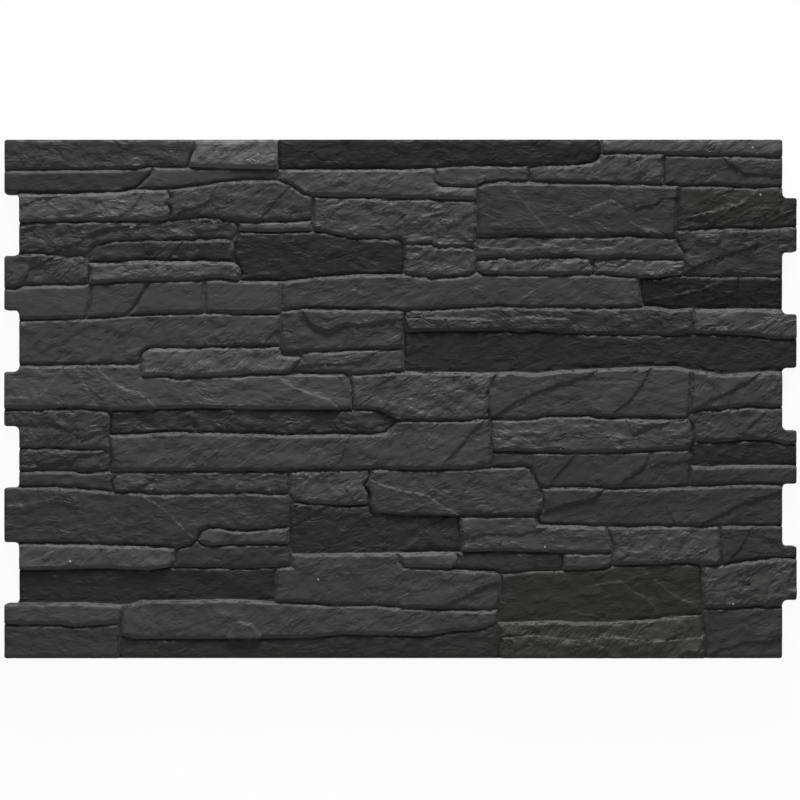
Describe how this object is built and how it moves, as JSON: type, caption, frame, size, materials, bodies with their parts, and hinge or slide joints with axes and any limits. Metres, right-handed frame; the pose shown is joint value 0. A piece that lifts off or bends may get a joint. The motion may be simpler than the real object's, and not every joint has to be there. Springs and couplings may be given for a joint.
{
  "type": "facade cladding panel",
  "caption": "One-piece facade cladding panel with a stacked split-slate relief and interlocking tabs and notches at both ends.",
  "frame": {"origin": "on the flat back face, under the middle of the panel's bounding box", "axes": "+X along the stone courses towards the end with the slimmer tabs, +Y up the wall, +Z out of the wall; the panel lies on its back"},
  "size_m": [0.6112, 0.4, 0.022],
  "materials": {
    "slate_black": "satin"
  },
  "bodies": {
    "root": {"slate_panel": "slate_black"}
  },
  "joints": []
}
